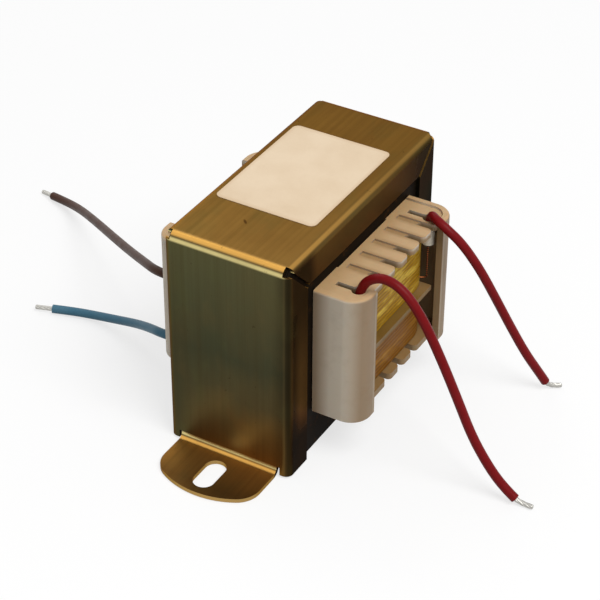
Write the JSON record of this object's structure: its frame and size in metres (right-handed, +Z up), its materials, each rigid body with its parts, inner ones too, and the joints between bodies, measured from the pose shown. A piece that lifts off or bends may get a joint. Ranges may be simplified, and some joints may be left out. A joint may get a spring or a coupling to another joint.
{
  "type": "alarm panel transformer",
  "caption": "Open-frame mains transformer in a folded steel bracket with two slotted feet, a white split bobbin, a blank top label and loose insulated leads.",
  "frame": {"origin": "centre of the mounting plane under the feet", "axes": "+X along the line of the two feet, +Z up out of the mounting surface, -Y towards the side with the red leads"},
  "size_m": [0.0984, 0.1714, 0.0571],
  "materials": {
    "yellow_passivated_steel": "semi-gloss yellow passivate",
    "core_steel": "dark impregnating varnish",
    "bobbin_nylon": "natural white moulding",
    "magnet_wire": "enamelled copper",
    "yellow_tape": "glossy polyester tape",
    "amber_tape": "glossy polyester tape",
    "sleeve_plastic": "insulating sleeve",
    "red_insulation": "satin PVC",
    "brown_insulation": "satin PVC",
    "blue_insulation": "satin PVC",
    "tinned_strands": "tinned copper strands",
    "label_stock": "cream label, left blank"
  },
  "bodies": {
    "root": {"mounting_bracket": "yellow_passivated_steel", "core_e_laminations": "core_steel", "core_i_laminations": "core_steel", "bobbin": "bobbin_nylon", "primary_winding": "magnet_wire", "secondary_winding": "magnet_wire", "primary_tape": "amber_tape", "secondary_tape": "yellow_tape", "near_red_splice": "sleeve_plastic", "far_red_splice": "sleeve_plastic", "brown_splice": "sleeve_plastic", "blue_splice": "sleeve_plastic", "red_lead_near": "red_insulation", "red_lead_far": "red_insulation", "brown_lead": "brown_insulation", "blue_lead": "blue_insulation", "red_strands_near": "tinned_strands", "red_strands_far": "tinned_strands", "brown_strands": "tinned_strands", "blue_strands": "tinned_strands", "rating_label": "label_stock"}
  },
  "joints": []
}
